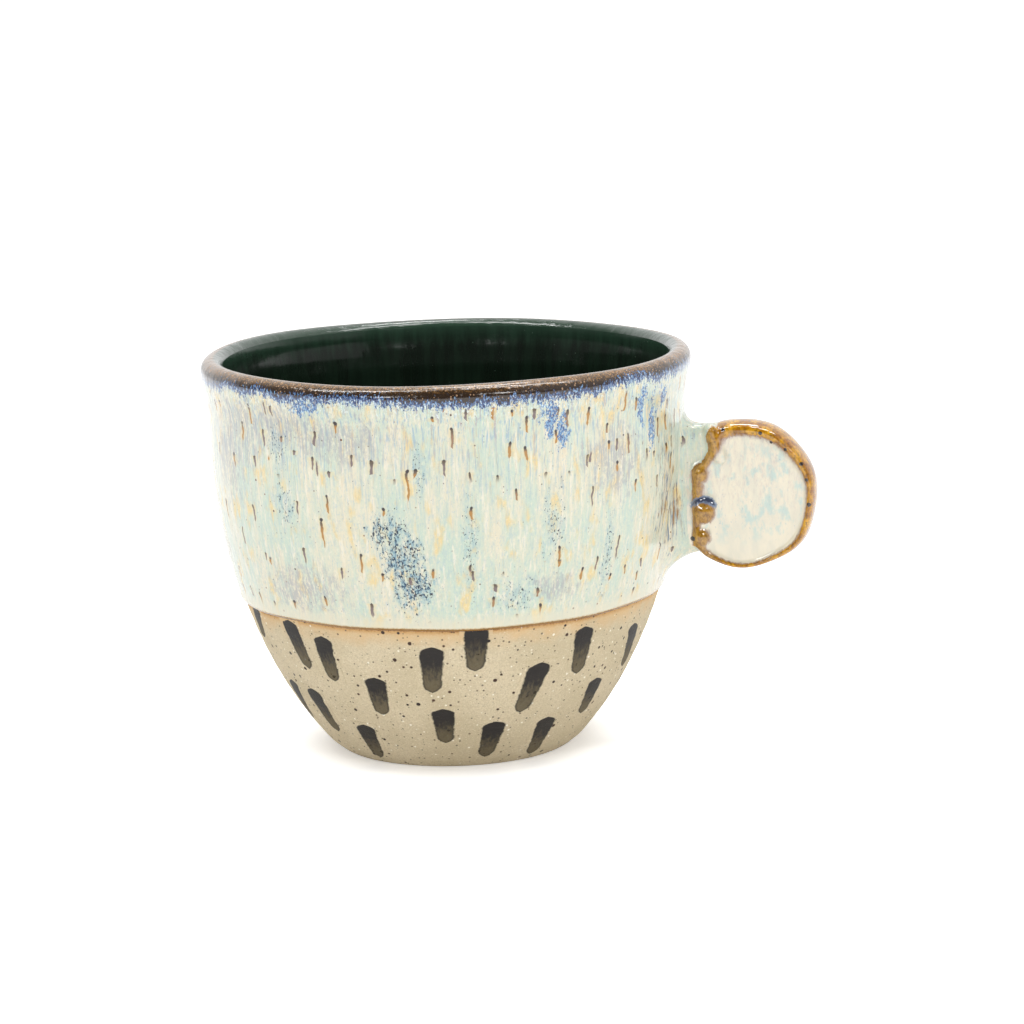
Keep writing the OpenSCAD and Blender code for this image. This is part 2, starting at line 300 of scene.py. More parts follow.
turns = np.linspace(0, 2 * math.pi, 360, endpoint=False)[None, :]
stops = np.concatenate([[0, 8, 16], np.linspace(rise_to(0.4) - 1.5, rise_to(glaze_line + 1), 52),
                        np.linspace(rise_to(glaze_line + 2), fall_to(60), 60),
                        np.linspace(fall_to(58), even[-1], 30)])[:, None]
bowl = skin("thrown_bowl", thrown(stops + 0 * turns, turns + 0 * stops, 0.0), False, bare_clay)
x, y, z = own_place(bowl).T
below = rise_to(glaze_line + edge_wave(np.arctan2(y, x))) - rise_to(np.clip(z, 1, 60))
marked(bowl, "singed", np.clip(1 - below / 1.3, 0, 1) * (np.hypot(x, y) > 40) * (z < glaze_line + 2))
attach(bowl, "root")
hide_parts("clay_body")


# ---- Liner glaze ----
# A dark bottle-green glaze is poured in, swirled and poured out. It is thin and paler at the lip
# and pools almost black on the floor.
liner, liner_in, liner_out = colour_group("bottle green glaze")
add, calc, times, fade, blend, wash, stretch, cloud = bench(liner)
place = liner_in.outputs["Place"]
height = add("ShaderNodeSeparateXYZ", {0: place}, out=2)
runs = cloud(stretch(place, 0.5, 0.5, 0.05), 3, 0.6)
thin = fade(calc("MULTIPLY_ADD", runs, 4.0, height), 77.5, 83.5)
colour = blend(fade(runs, 0.35, 0.7), shade(21, 31, 23), shade(27, 42, 31))
colour = blend(thin, colour, shade(46, 72, 56))
dots, _ = specks(add, calc, fade, place, 0.6, 0.0, 0.16, 0.06, 3.0)
colour = wash(dots, 0.6, colour, shade(80, 100, 86))
liner.links.new(colour, liner_out.inputs["Colour"])
liner.links.new(fade(cloud(place, 2, scale=0.3), 0.3, 0.7, 0.12, 0.16), liner_out.inputs["Roughness"])
liner.links.new(cloud(stretch(place, 0.35, 0.35, 0.12), 2), liner_out.inputs["Height"])
green_glaze = fired("bottle green glaze", liner, 0.1, {"Specular IOR Level": 0.38})

drop = np.concatenate([np.linspace(fall_to(band_inside), fall_to(20), 64),
                       np.linspace(fall_to(19), even[-1], 26)])
shell = np.concatenate([thrown(drop[:, None] + 0 * turns, turns + 0 * drop[:, None], coat),
                        thrown(drop[::-1, None] + 0 * turns, turns + 0 * drop[:, None], 0.02)])
inside_coat = skin("liner_coat", shell, True, green_glaze)
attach(inside_coat, "root")
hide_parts("liner_glaze")


# ---- Outer glazes ----
# The upper two thirds are dipped in a cream glaze that runs in the fire: it streaks to mint,
# pale blue and ochre, breaks to iron brown over the lip with a blue fringe, and stops in a soft
# roll above the bare clay. Iron bleeds out of the clay in short dark drips with amber tails.
running, run_in, run_out = colour_group("running cream glaze")
add, calc, times, fade, blend, wash, stretch, cloud = bench(running)
place = run_in.outputs["Place"]
split = add("ShaderNodeSeparateXYZ", {0: place}).node
height = split.outputs[2]
out = calc("SQRT", calc("ADD", times(split.outputs[0], split.outputs[0]),
                        times(split.outputs[1], split.outputs[1])))
# The wall unrolled flat, in millimetres, with its join hidden under the handle.
turned = calc("ARCTAN2", times(split.outputs[1], -1.0), times(split.outputs[0], -1.0))
arc = times(turned, throat_radius)
flat = add("ShaderNodeCombineXYZ", {0: arc, 1: height})
slant = 0.43
slanted = add("ShaderNodeCombineXYZ", {0: arc, 1: calc("MULTIPLY_ADD", arc, slant, height)})

cream, mint, ochre = shade(231, 223, 197), shade(201, 218, 201), shade(236, 212, 148)
broad = cloud(stretch(place, 0.12, 0.12, 0.045), 2, 0.5)
runs = cloud(stretch(place, 0.55, 0.55, 0.07), 3, 0.6)
threads = cloud(stretch(place, 1.3, 1.3, 0.13, (3, 8, 1)), 3, 0.65)
hairs = cloud(stretch(place, 2.4, 2.4, 0.2, (9, 4, 2)), 2, 0.6)
curds = cloud(stretch(place, 2.3, 2.3, 1.5, (5, 1, 8)), 3, 0.7)
upper = fade(height, 54, 77)
milky = calc("ADD", times(broad, 0.35), calc("ADD", times(runs, 0.35), times(threads, 0.3)))
colour = blend(fade(milky, 0.37, 0.61), cream, mint)
yolk = calc("ADD", cloud(stretch(place, 0.36, 0.36, 0.16, (17, 2, 5)), 2, 0.5), times(threads, 0.25))
colour = wash(fade(yolk, 0.67, 0.83), 0.9, colour, ochre)
colour = wash(fade(threads, 0.46, 0.32), 0.6, colour, shade(243, 238, 220))
colour = wash(fade(hairs, 0.52, 0.68), calc("MULTIPLY_ADD", upper, 0.6, 0.2), colour,
              shade(146, 178, 200))
colour = wash(fade(threads, 0.55, 0.7), calc("MULTIPLY_ADD", upper, 0.7, 0.1), colour,
              shade(174, 164, 172))
colour = wash(fade(hairs, 0.42, 0.3), calc("MULTIPLY_ADD", upper, 0.45, 0.08), colour,
              shade(206, 184, 146))
colour = wash(fade(curds, 0.53, 0.68), 0.4, colour, shade(170, 194, 204))
colour = wash(fade(curds, 0.45, 0.3), 0.45, colour, shade(244, 238, 217))

ragged = calc("MULTIPLY_ADD", cloud(stretch(place, 0.6, 0.6, 0.33, (1, 6, 4)), 3, 0.75), 3.2, -1.6)


def gathered(spots):
    """Ragged patches on the wall, each an angle, a height, a width and a tallness: one in their
    middles and nought outside."""
    total = None
    for angle, centre, wide, tall in spots:
        aside = math.radians((angle + 360) % 360 - 180) * throat_radius
        here = add("ShaderNodeVectorMath", {0: flat, 1: (1 / wide, 1 / tall, 0),
                                            2: (-aside / wide, -centre / tall, 0)}, operation="MULTIPLY_ADD")
        far = add("ShaderNodeVectorMath", {0: here}, out=1, operation="LENGTH")
        patch = fade(calc("ADD", far, ragged), 1.25, 0.25)
        total = patch if total is None else calc("MAXIMUM", total, patch)
    return total


# Smoky lilac, where the glaze is thin.
smoke = gathered([(-118, 40, 10, 6), (-133, 72, 8, 7), (-104, 71, 10, 5), (-140, 66, 8, 10),
                  (-116, 73, 12, 5), (-52, 40, 6, 3), (-35, 64, 8, 8), (35, 42, 9, 5),
                  (80, 70, 12, 5), (120, 41, 8, 5), (160, 68, 9, 7)])
smoky = times(smoke, fade(calc("ADD", hairs, times(curds, 0.6)), 0.62, 0.86))
colour = wash(smoky, 0.6, colour, shade(166, 164, 168))

# Brown and slate streaks run down beside the handle.
beside = gathered([(-14, 58, 4.5, 13), (-9, 50, 3, 9), (14, 58, 4.5, 13)])
colour = wash(beside, fade(hairs, 0.5, 0.62), colour, shade(112, 136, 158))
colour = wash(beside, fade(threads, 0.53, 0.62), colour, shade(158, 122, 78))

# Clouds of blue with navy pinpricks, where rutile has gathered.
rutile = gathered([(-92.5, 52.3, 3.8, 5.2), (-89.5, 47, 4.6, 5), (-87.5, 41.5, 4.8, 5),
                   (48, 46, 5, 8), (139, 45, 5, 9)])
thinner = gathered([(-73.5, 51, 1.7, 10), (-53, 53, 2.6, 8), (-37, 46, 1.7, 10),
                    (-121, 68, 2.4, 6), (-62, 39, 5, 3.4), (-120, 57, 3, 5),
                    (-85, 65, 1.6, 5), (96, 55, 2.4, 8), (178, 58, 2, 8)])
rutile = calc("MAXIMUM", rutile, times(thinner, 0.42))
sky = cloud(stretch(place, 1.1, 1.1, 0.6, (2, 2, 9)), 3, 0.65)
haze = times(rutile, fade(sky, 0.4, 0.6))
colour = wash(haze, 0.85, colour, shade(132, 176, 192))
grit = calc("MULTIPLY_ADD", rutile, 0.15, cloud(stretch(place, 2.6, 2.6, 1.8, (7, 3, 1)), 2, 0.65, 0.4))
flow = times(fade(hairs, 0.48, 0.6), fade(rutile, 0.3, 0.9))
colour = wash(flow, 0.42, colour, shade(62, 110, 142))
pins = times(fade(grit, 0.65, 0.7), fade(rutile, 0.02, 0.2))
colour = blend(pins, colour, blend(fade(sky, 0.4, 0.6), shade(24, 38, 54), shade(44, 78, 104)))


def drips(colour, wide_cell, tall_cell, shift, share, thick, long, low, high):
    """Iron drips: a dark round head and a thin amber or violet tail run down from it."""
    spread = add("ShaderNodeVectorMath", {0: slanted, 1: (1 / wide_cell, 1 / tall_cell, 0), 2: shift},
                 operation="MULTIPLY_ADD")
    cells = add("ShaderNodeTexVoronoi", {"Vector": spread, "Scale": 1.0, "Randomness": 1.0},
                voronoi_dimensions="2D").node
    here = add("ShaderNodeVectorMath", {0: spread, 1: cells.outputs[2]}, operation="SUBTRACT")
    here = add("ShaderNodeVectorMath", {0: here, 1: (wide_cell, tall_cell, 0)}, operation="MULTIPLY")
    parts = add("ShaderNodeSeparateXYZ", {0: here}).node
    chance = add("ShaderNodeSeparateColor", {"Color": cells.outputs[1]}).node
    rise = calc("MULTIPLY_ADD", parts.outputs[0], -slant, parts.outputs[1])
    wobble = calc("MULTIPLY_ADD", cloud(stretch(place, 0.45, 0.45, 0.4), 1), 1.2, -0.6)
    side = calc("ABSOLUTE", calc("ADD", parts.outputs[0], wobble))
    reach = calc("MULTIPLY_ADD", chance.outputs[2], long, 1.0)
    down = calc("DIVIDE", calc("SUBTRACT", 0.0, rise), reach)
    swell = calc("MULTIPLY_ADD", cloud(stretch(place, 0.9, 0.9, 1.3, (2, 7, 5)), 1), 1.2, 0.4)
    width = times(times(fade(down, -0.03, 0.02), fade(down, 1.0, 0.75)), thick)
    width = times(width, times(swell, calc("MULTIPLY_ADD", down, -0.35, 1.0)))
    tail = fade(calc("SUBTRACT", width, side), -0.07, 0.09)
    away = calc("SQRT", calc("ADD", times(side, side), times(rise, rise)))
    head = fade(calc("SUBTRACT", calc("MULTIPLY_ADD", chance.outputs[1], 0.32, 0.06), away), -0.08, 0.08)
    keep = times(calc("GREATER_THAN", chance.outputs[0], 1 - share),
                 times(fade(height, low, low + 2), fade(height, high + 1.0, high)))
    keep = times(keep, fade(out, 50.8, 50.2))
    halo = fade(calc("SUBTRACT", times(width, 3.2), side), -0.2, 0.5)
    colour = wash(times(halo, keep), 0.35, colour, ochre)
    amber = blend(fade(chance.outputs[1], 0.35, 0.6), shade(112, 92, 96), shade(178, 122, 34))
    amber = blend(fade(down, 0.35, 0.1), amber, shade(74, 50, 34))
    amber = blend(fade(down, 0.8, 1.0), amber, shade(104, 72, 50))
    colour = wash(times(tail, keep), 0.92, colour, amber)
    return wash(head, keep, colour, shade(44, 32, 32))


colour = drips(colour, 4.0, 6.0, (4, 9, 0), 0.7, 0.32, 5.0, 62, 77)
colour = drips(colour, 6.2, 9.0, (1, 3, 0), 0.55, 0.28, 6.0, 43, 66)
colour = drips(colour, 4.6, 5.5, (6, 2, 0), 0.5, 0.34, 2.6, 33.8, 45)
pepper, tint = specks(add, calc, fade, stretch(place, 1, 1, 1, (11, 27, 8)), 0.9, 0.0, 0.15, 0.05, 1.8)
colour = wash(pepper, 0.8, colour, blend(tint, shade(70, 84, 112), shade(140, 110, 78)))
lone, tint = specks(add, calc, fade, stretch(place, 1, 1, 1, (41, 17, 3)), 0.5, 0.0, 0.24, 0.06, 3.0)
colour = blend(lone, colour, blend(tint, shade(46, 40, 52), shade(128, 84, 50)))

# The fringe under the lip: brown teeth, then navy, then blue curds thinning out downwards.
teeth = cloud(stretch(place, 1.7, 1.7, 0.35, (5, 5, 0)), 3, 0.75)
sway = cloud(stretch(place, 0.1, 0.1, 0.02, (8, 1, 0)), 2)
edge = calc("MULTIPLY_ADD", teeth, 5.0, calc("MULTIPLY_ADD", sway, 5.0, calc("SUBTRACT", height, 5.0)))
deep = gathered([(-54.5, 75, 2.8, 6), (-51, 71.5, 2, 5), (-27, 74.5, 2.4, 6),
                 (-22.5, 70, 1.6, 7), (-18, 75, 2.2, 3.5), (-112, 77, 5, 2),
                 (60, 74, 4, 5), (130, 73, 3.4, 5), (165, 75, 5, 3)])
blue = calc("MAXIMUM", fade(edge, 76.6, 79.5), times(deep, 0.72))
grains = cloud(stretch(place, 3.0, 3.0, 2.0, (4, 4, 6)), 3, 0.7, 0.3)
blue_curds = fade(calc("MULTIPLY_ADD", blue, 0.5, grains), 0.72, 0.84)
motes = cloud(stretch(place, 2.8, 2.8, 1.7, (8, 9, 3)), 3, 0.7)
depth = calc("MAXIMUM", fade(edge, 76.5, 79.4), times(deep, 0.55))
depth = calc("MULTIPLY_ADD", calc("SUBTRACT", motes, 0.5), 5.0, depth)
tone = blend(fade(depth, 0.0, 0.55), shade(142, 188, 220), shade(84, 132, 190))
tone = blend(fade(depth, 0.5, 1.1), tone, shade(38, 62, 116))
colour = wash(blue_curds, 0.95, colour, tone)
foam = times(fade(motes, 0.45, 0.36), times(fade(edge, 75.2, 77.2), fade(edge, 79.5, 78.9)))
colour = wash(foam, 0.9, colour, shade(232, 242, 240))
inky = times(fade(grains, 0.57, 0.66), fade(edge, 76.8, 78.6))
colour = blend(inky, colour, shade(50, 44, 66))
bitten = calc("MULTIPLY_ADD", calc("SUBTRACT", motes, 0.5), 4.0, edge)
colour = blend(fade(bitten, 79.2, 79.8), colour, shade(46, 42, 62))
rust = blend(fade(motes, 0.4, 0.62), shade(96, 68, 32), shade(172, 126, 68))
rust = wash(fade(hairs, 0.45, 0.62), 0.7, rust, shade(76, 56, 36))
rust = blend(fade(calc("MULTIPLY_ADD", motes, 2.4, height), 81.5, 83.0), shade(50, 36, 24), rust)
lights, _ = specks(add, calc, fade, stretch(place, 1, 1, 1, (2, 5, 8)), 1.9, 0.0, 0.2, 0.05, 1.6)
rust = wash(lights, 0.65, rust, shade(212, 172, 136))
colour = blend(fade(bitten, 79.3, 80.1), colour, rust)
crest = fade(calc("MULTIPLY_ADD", curds, 0.5, out), 47.9, 47.3)
colour = wash(crest, fade(height, 79.2, 80.0), colour, shade(44, 68, 52))

# The dipped edge: a thick pale roll, then a thin line of bare ochre where the glaze runs out.
above = add("ShaderNodeAttribute", out=2, attribute_name="above edge")
above = calc("MULTIPLY_ADD", curds, 0.5, calc("SUBTRACT", above, 0.25))
colour = wash(fade(above, 4.4, 1.4), 0.7, colour, shade(230, 223, 198))
colour = blend(fade(above, 1.0, 0.6), colour, shade(204, 178, 126))
colour = blend(fade(above, 0.75, 0.5), colour, shade(136, 92, 30))
running.links.new(colour, run_out.inputs["Colour"])
running.links.new(fade(cloud(place, 2, scale=0.4), 0.3, 0.7, 0.07, 0.16), run_out.inputs["Roughness"])
relief = calc("ADD", cloud(stretch(place, 0.3, 0.3, 0.1), 2), times(hairs, 0.12))
relief = calc("MULTIPLY_ADD", times(curds, fade(height, 76, 80)), 0.12, relief)
running.links.new(relief, run_out.inputs["Height"])
cream_glaze = fired("running cream glaze", running, 0.35,
                    {"Specular IOR Level": 0.6, "Coat Weight": 0.5, "Coat Roughness": 0.05})
rim_glaze = cream_glaze.copy()
rim_glaze.name = "iron brown rim glaze"


start = rise_to(glaze_line + edge_wave(turns))
share = np.concatenate([[0, 0.002, 0.005, 0.009, 0.014, 0.021, 0.03, 0.042, 0.056],
                        np.linspace(0.075, 1, 62)])[:, None]
climb = start + share * (rise_to(band_outside) - start)
from_edge = climb - start
swollen = coat * (1 - np.exp(-from_edge / 0.35)) + 0.2 * np.exp(-((from_edge - 1.1) / 0.9) ** 2)
swollen = np.where(share == 0, 0.0, swollen)
shell = np.concatenate([thrown(climb, turns + 0 * climb, swollen),
                        thrown(climb[::-1], turns + 0 * climb, -0.05)])
wall_coat = skin("wall_glaze_coat", shell, True, cream_glaze)
x, y, z = own_place(wall_coat).T
marked(wall_coat, "above edge", rise_to(z) - rise_to(glaze_line + edge_wave(np.arctan2(y, x))))
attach(wall_coat, "root")
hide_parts("wall_glaze")

over = np.linspace(rise_to(band_outside), fall_to(band_inside), 30)[:, None]
shell = np.concatenate([thrown(over + 0 * turns, turns + 0 * over, coat),
                        thrown(over[::-1] + 0 * turns, turns + 0 * over, 0.02)])
rim_coat = skin("rim_glaze_coat", shell, True, rim_glaze)
marked(rim_coat, "above edge", np.full(len(rim_coat.data.vertices), 9.0))
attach(rim_coat, "root")
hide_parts("rim_glaze")


# ---- Handle clay ----
# The handle is a flat web of clay smoothed on to the wall, with a lump pinched into a round,
# slightly hollow disc at its end. The pinching leaves a raised, lumpy edge, thickest on the side
# towards the bowl. All distances here are in millimetres.
disc_x, disc_z, disc_r, disc_edge, disc_face = 60.75, 52.5, 15.21, 4.1, 2.9
wall_z = np.linspace(0.5, 79, 300)
wall_r = np.interp(rise_to(wall_z), even, outline[:, 0]) + coat
wall_slope = 1 / np.sqrt(1 + np.gradient(wall_r, wall_z) ** 2)


def soft_step(value, low, high):
    t = np.clip((value - low) / (high - low), 0, 1)
    return t * t * (3 - 2 * t)


def soft_join(a, b, k):
    h = np.clip(k - np.abs(a - b), 0, None) / k
    return np.minimum(a, b) - h * h * k / 4


def lumps(x, y, z, size, seed):
    """Small soft unevenness, as fingers leave in clay."""
    dice = np.random.default_rng(seed)
    total = 0.0
    for _ in range(7):
        d = dice.normal(size=3)
        d *= 2 * math.pi / size / np.linalg.norm(d) * dice.uniform(0.7, 1.4)
        total = total + np.sin(d[0] * x + d[1] * y + d[2] * z + dice.uniform(0, 6.3))
    return total / 7


def off_wall(x, y, z):
    return (np.hypot(x, y) - np.interp(z, wall_z, wall_r)) * np.interp(z, wall_z, wall_slope)


def inset(x, z):
    """How far a point lies inside the disc's outline."""
    turned = np.arctan2(z - disc_z, x - disc_x)
    radius = disc_r + 0.4 * np.exp(-((turned + 0.7) / 0.35) ** 2) + 0.12 * np.sin(7 * turned)
    round_gap = np.hypot(x - disc_x, z - disc_z) - radius
    flat_gap = 50.3 + 3.7 * soft_step(z, 55, 63) - x
    return soft_join(-round_gap, -flat_gap, 3.5)


def bead_width(x, z):
    """The raised edge: broad by the bowl and on top, narrow below."""
    turned = np.arctan2(z - disc_z, x - disc_x)
    top = np.exp(-((turned - 1.4) / 0.9) ** 2)
    near = np.exp(-((np.abs(turned) - math.pi) / 0.85) ** 2)
    return 1.15 + 0.6 * top + 0.6 * near - 0.35 * np.exp(-((turned + 1.5) / 0.7) ** 2)


pinches = ((52.5, 56.8, 1.9), (53.2, 49.0, 2.4), (52.6, 43.8, 2.0))


def handle_field(x, y, z):
    """Below nought inside the glazed handle, and about a distance near its surface."""
    deep = inset(x, z)
    bead = bead_width(x, z)
    y_bent = y - 0.25 * np.sin((x - disc_x) / 9.0) - 0.2 * np.sin((z - disc_z) / 8.0)
    edge = disc_edge - 0.5 * soft_step(z, 46, 38) + 0.22 * lumps(x, 0 * y, z, 6.0, 4)
    fall = soft_step(deep, bead * 0.9, bead * 2.3)
    half = edge + (disc_face - edge) * fall
    rim = edge * (np.sqrt(np.clip((bead - deep) / bead, 0, None) ** 2 + (y_bent / edge) ** 2) - 1)
    pancake = np.where(deep < bead, rim, np.abs(y_bent) - half)
    pancake = np.where(deep < -3, edge + 3, pancake)
    for bx, bz, size in pinches:
        ball = np.sqrt((x - bx) ** 2 + (y + 2.7) ** 2 + ((z - bz) * 0.85) ** 2) - size
        pancake = soft_join(pancake, ball, 1.0)
    curl = np.sqrt((x - 55.7 + 0.25 * (z - 63)) ** 2 + (y + 3.0) ** 2
                   + np.clip(np.abs(z - 63) - 2.6, 0, None) ** 2) - 1.55
    pancake = soft_join(pancake, curl, 0.7)
    thick = np.abs(y) - 3.3 + 2.6
    tall = np.abs(z - 53.7) - 13.1 + 2.6
    web = np.hypot(np.clip(thick, 0, None), np.clip(tall, 0, None)) + np.minimum(
        np.maximum(thick, tall), 0) - 2.6
    web = np.maximum(web, x - 56.5)
    web = web - 0.18 * lumps(x, y, z, 9.0, 9)
    blend_in = 3.8 + 5.0 * soft_step(z, 60, 40)
    body = soft_join(web, off_wall(x, y, z) + 0.12, blend_in)
    return soft_join(body, pancake, 0.9)


def moulded(field, low, high, step):
    """The surface where a field is nought, as vertices in millimetres and faces of four."""
    axes = [np.arange(a, b, step) for a, b in zip(low, high)]
    grid = field(*np.meshgrid(*axes, indexing="ij"))
    size = [n - 1 for n in grid.shape]
    corner = {c: grid[c[0]:c[0] + size[0], c[1]:c[1] + size[1], c[2]:c[2] + size[2]]
              for c in np.ndindex(2, 2, 2)}
    mixed = (np.minimum.reduce(list(corner.values())) < 0) & (
        np.maximum.reduce(list(corner.values())) >= 0)
    cells = np.argwhere(mixed)
    ids = np.full(mixed.shape, -1)
    ids[mixed] = np.arange(len(cells))
    total, count = np.zeros((len(cells), 3)), np.zeros(len(cells))
    for a in np.ndindex(2, 2, 2):
        for axis in range(3):
            if a[axis]:
                continue
            b = tuple(1 if i == axis else v for i, v in enumerate(a))
            fa, fb = corner[a][mixed], corner[b][mixed]
            cut = (fa < 0) != (fb < 0)
            t = np.where(cut, fa / np.where(cut, fa - fb, 1), 0)
            point = np.array(a, float) + t[:, None] * (np.array(b) - np.array(a))
            total += np.where(cut[:, None], point, 0)
            count += cut
    points = np.array(low) + step * (cells + total / count[:, None])
    faces = []
    for axis in range(3):
        u, v = (axis + 1) % 3, (axis + 2) % 3
        first = np.take(grid, range(grid.shape[axis] - 1), axis) < 0
        second = np.take(grid, range(1, grid.shape[axis]), axis) < 0
        at = np.argwhere(first != second)
        at = at[(at[:, u] > 0) & (at[:, v] > 0) & (at[:, u] < size[u]) & (at[:, v] < size[v])]
        ring = []
        for du, dv in ((1, 1), (0, 1), (0, 0), (1, 0)):
            q = at.copy()
            q[:, u] -= du
            q[:, v] -= dv
            ring.append(ids[q[:, 0], q[:, 1], q[:, 2]])
        ring = np.stack(ring, 1)
        inwards = ~first[tuple(at.T)]
        ring[inwards] = ring[inwards][:, ::-1]
        faces.append(ring[(ring >= 0).all(1)])
    for _ in range(2):
        h = 0.02
        value = field(*points.T)
        slope = np.stack([field(*(points + h * np.eye(3)[i]).T) - value for i in range(3)], 1) / h
        steep = np.clip((slope ** 2).sum(1), 0.2, None)
        points -= np.clip(value / steep, -0.2, 0.2)[:, None] * slope
    return points, np.vstack(faces)


def solid(name, points, faces, material, marks=None):
    """A piece from vertices in millimetres, with painted values stored on them."""
    used, order = np.unique(faces, return_inverse=True)
    mesh = bpy.data.meshes.new(name)
    mesh.from_pydata((points[used] * 0.001).tolist(), [], order.reshape(faces.shape).tolist())
    for word, values in (marks or {}).items():
        mesh.attributes.new(word, "FLOAT", "POINT").data.foreach_set("value", values[used])
    mesh.polygons.foreach_set("use_smooth", [True] * len(mesh.polygons))
    mesh.materials.append(material)
    piece = bpy.data.objects.new(name, mesh)
    bpy.context.collection.objects.link(piece)
    return piece


def core(x, y, z):
    return handle_field(x, y, z) + coat


# The slip lies on the bowl's clay, from a hair under the wall's glaze, and across the neck's end.
neck_end = 53.0
slip_half = 0.2
slip_foot = coat - 0.1
slip_top = slip_foot + 2 * slip_half
joints = [
    ("handle_neck_clay", "handle_neck", "stoneware",
     lambda x, y, z: np.maximum(np.maximum(core(x, y, z), slip_top - off_wall(x, y, z)),
                                x - neck_end + slip_half)),
    ("handle_disc_clay", "handle_disc", "stoneware",
     lambda x, y, z: np.maximum(core(x, y, z), neck_end + slip_half - x)),
    ("neck_slip_layer", "neck_slip", "slip",
     lambda x, y, z: np.maximum(np.maximum(core(x, y, z), slip_foot - off_wall(x, y, z)),
                                off_wall(x, y, z) - slip_top)),
    ("disc_slip_layer", "disc_slip", "slip",
     lambda x, y, z: np.maximum(core(x, y, z), np.abs(x - neck_end) - slip_half))]
for name, node, finish, field in joints:
    fine = 0.3 if finish == "slip" else 0.5
    points, faces = moulded(field, (43.0, -10.0, 29.0), (78.5, 10.0, 71.0), fine)
    piece = solid(name, points, faces, bare_clay)
    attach(piece, "root")
    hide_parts(node)


# ---- Handle glazes ----
# The handle is dipped with the bowl, so the neck keeps the running cream glaze. On the disc the
# glaze pools cream in the hollow of each face and breaks to glossy amber over the raised edge.
def glaze_over_disc(name):
    group, here, there = colour_group(name)
    add, calc, times, fade, blend, wash, stretch, cloud = bench(group)
    place = here.outputs["Place"]
    height = add("ShaderNodeSeparateXYZ", {0: place}, out=2)
    amber = add("ShaderNodeAttribute", out=2, attribute_name="amber")
    near = add("ShaderNodeAttribute", out=2, attribute_name="bowl side")
    feather = calc("MULTIPLY_ADD", cloud(stretch(place, 1.7, 1.7, 0.6), 3, 0.7), 0.9, -0.45)
    grade = calc("ADD", amber, feather)
    soft = cloud(stretch(place, 0.35, 0.35, 0.12), 3, 0.6)
    colour = blend(fade(soft, 0.4, 0.62), shade(243, 234, 211), shade(233, 227, 207))
    wisps = cloud(stretch(place, 0.5, 0.5, 0.3, (3, 1, 2)), 3, 0.6)
    middle = times(fade(height, 41, 47), fade(height, 66, 59))
    colour = wash(fade(wisps, 0.48, 0.66), times(middle, 0.7), colour, shade(186, 216, 212))
    curl = cloud(stretch(place, 1.8, 1.8, 1.1, (6, 4, 2)), 3, 0.7)
    colour = wash(fade(curl, 0.6, 0.74), times(middle, 0.5), colour, shade(150, 178, 196))
    colour = wash(fade(grade, -0.1, 0.4), times(fade(height, 43, 56), 0.7), colour, shade(198, 184, 178))
    colour = wash(fade(grade, 0.2, 0.5), 0.6, colour, shade(164, 128, 104))
    thin = cloud(stretch(place, 0.5, 0.5, 0.5), 3, 0.6)
    honey = blend(fade(thin, 0.36, 0.64), shade(164, 104, 2), shade(222, 164, 28))
    honey = wash(fade(curl, 0.46, 0.66), 0.7, honey, shade(96, 58, 2))
    tan = blend(fade(curl, 0.36, 0.64), shade(188, 144, 58), shade(136, 94, 28))
    honey = wash(near, 0.75, honey, tan)
    honey = wash(fade(grade, 0.8, 0.45), 0.7, honey, shade(128, 76, 22))
    colour = blend(fade(grade, 0.3, 0.8), colour, honey)
    navy = add("ShaderNodeAttribute", out=2, attribute_name="navy")
    ink = times(fade(navy, 0.0, 0.25), calc("ADD", navy, calc("MULTIPLY_ADD", curl, 1.6, -0.8)))
    colour = wash(fade(ink, 0.1, 0.5), 0.8, colour, shade(118, 144, 178))
    colour = wash(fade(ink, 0.5, 0.95), 0.9, colour, shade(44, 52, 80))
    dot = add("ShaderNodeAttribute", out=2, attribute_name="iron dot")
    colour = blend(fade(dot, 0.42, 0.58), colour, shade(46, 34, 30))
    group.links.new(colour, there.inputs["Colour"])
    group.links.new(fade(thin, 0.3, 0.7, 0.05, 0.12), there.inputs["Roughness"])
    relief = calc("ADD", cloud(stretch(place, 0.4, 0.4, 0.25), 2), times(curl, 0.1))
    group.links.new(relief, there.inputs["Height"])
    return group


def glossy(name, group):
    return fired(name, group, 0.2, {"Specular IOR Level": 0.7, "Coat Weight": 0.9,
                                    "Coat Roughness": 0.03})


disc_group = glaze_over_disc("pooled and breaking glaze")
amber_glaze = glossy("amber edge glaze", disc_group)
pool_glaze = glossy("pooled cream glaze", disc_group)
neck_glaze = cream_glaze.copy()
neck_glaze.name = "running cream glaze on neck"

points, faces = moulded(handle_field, (42.0, -12.5, 27.0), (78.5, 12.5, 74.0), 0.3)
x, y, z = points.T
deep, bead = inset(x, z), bead_width(x, z)
beyond = off_wall(x, y, z)
amber = soft_step(deep, bead * 2.2, bead * 0.9) * soft_step(x, 50.2, 51.2)
amber = np.maximum(amber, soft_step(deep, 0.3, -0.3)) * soft_step(x, 50.2, 51.4)
web_only = (np.abs(y) < 3.7) & (deep < 0.4) & (x < 56)
amber = np.where(web_only, 0, amber)
for bx, bz, size in pinches:
    lump = soft_step(np.hypot(x - bx, z - bz), size + 0.9, size - 1.3)
    amber = np.maximum(amber, lump * soft_step(y, -2.4, -3.4))
near = soft_step(x, 58, 54)
